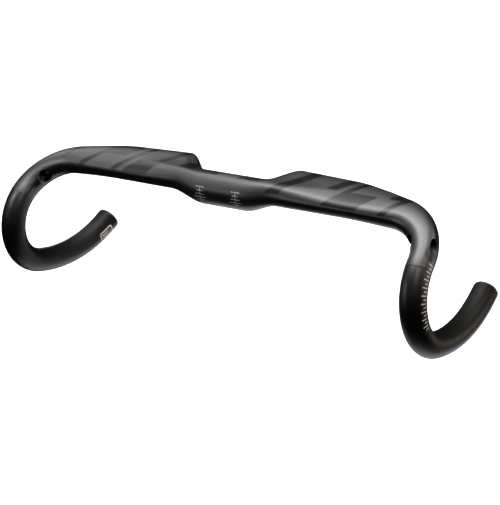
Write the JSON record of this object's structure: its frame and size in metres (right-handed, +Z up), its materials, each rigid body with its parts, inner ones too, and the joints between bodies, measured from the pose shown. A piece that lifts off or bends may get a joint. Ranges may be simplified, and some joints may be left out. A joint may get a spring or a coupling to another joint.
{
  "type": "drop handlebar",
  "caption": "Aero drop handlebar with a round stem clamp, flattened wing tops, curved drops, internal cable ports and expanding end plugs.",
  "frame": {"origin": "centre of the stem clamp, on the bar's axis", "axes": "+X along the bar towards its right end as seen from the front of the bicycle, where the right_ pieces are, +Y back towards the rider, -Y forwards, +Z up, with the ends of the drops about level"},
  "size_m": [0.4776, 0.1258, 0.1426],
  "materials": {
    "carbon_top": "satin clear coat over carbon laminate",
    "carbon_drop": "fine matt clear coat over carbon laminate",
    "carbon_sleeve": "bare carbon",
    "liner_nylon": "black nylon",
    "grommet_rubber": "soft matt",
    "cap_plastic": "fine moulded texture",
    "expander_plastic": "smooth nylon",
    "nut_alloy": "turned, plain",
    "screw_steel": "blackened",
    "label_film": "clear film with light grey print; the printed scales share it"
  },
  "bodies": {
    "bar": {"top_moulding": "carbon_top", "left_drop": "carbon_drop", "left_bond_sleeve": "carbon_sleeve", "left_brake_hose_liner": "liner_nylon", "left_shift_cable_liner": "liner_nylon", "left_exit_grommet": "grommet_rubber", "right_drop": "carbon_drop", "right_bond_sleeve": "carbon_sleeve", "right_brake_hose_liner": "liner_nylon", "right_shift_cable_liner": "liner_nylon", "right_exit_grommet": "grommet_rubber", "inspection_label": "label_film"},
    "left_end_plug": {"left_plug_cap": "cap_plastic", "left_plug_expander": "expander_plastic"},
    "left_cone_nut": {"left_plug_nut": "nut_alloy"},
    "left_plug_bolt": {"left_plug_screw": "screw_steel"},
    "right_end_plug": {"right_plug_cap": "cap_plastic", "right_plug_expander": "expander_plastic"},
    "right_cone_nut": {"right_plug_nut": "nut_alloy"},
    "right_plug_bolt": {"right_plug_screw": "screw_steel"}
  },
  "joints": [
    {"name": "left_plug_pull", "type": "slide", "parent": "bar", "child": "left_end_plug", "axis": [0.0711, 0.9973, 0.0166], "range_m": [0, 0.022]},
    {"name": "left_screw_turn", "type": "hinge", "parent": "left_end_plug", "child": "left_plug_bolt", "pos_m": [-0.22067, 0.03468, -0.11473], "axis": [0.0711, 0.9973, 0.0166], "range_deg": [0, 1080]},
    {"name": "left_nut_travel", "type": "slide", "parent": "left_end_plug", "child": "left_cone_nut", "axis": [-0.0711, -0.9973, -0.0166], "range_m": [0, 0.0024]},
    {"name": "right_plug_pull", "type": "slide", "parent": "bar", "child": "right_end_plug", "axis": [-0.0711, 0.9973, 0.0166], "range_m": [0, 0.022]},
    {"name": "right_screw_turn", "type": "hinge", "parent": "right_end_plug", "child": "right_plug_bolt", "pos_m": [0.22067, 0.03468, -0.11473], "axis": [-0.0711, 0.9973, 0.0166], "range_deg": [0, 1080]},
    {"name": "right_nut_travel", "type": "slide", "parent": "right_end_plug", "child": "right_cone_nut", "axis": [0.0711, -0.9973, -0.0166], "range_m": [0, 0.0024]}
  ],
  "couplings": [
    {"joint": "left_screw_turn", "follows": "left_nut_travel", "rad_per_m": 7854},
    {"joint": "right_screw_turn", "follows": "right_nut_travel", "rad_per_m": 7854}
  ]
}
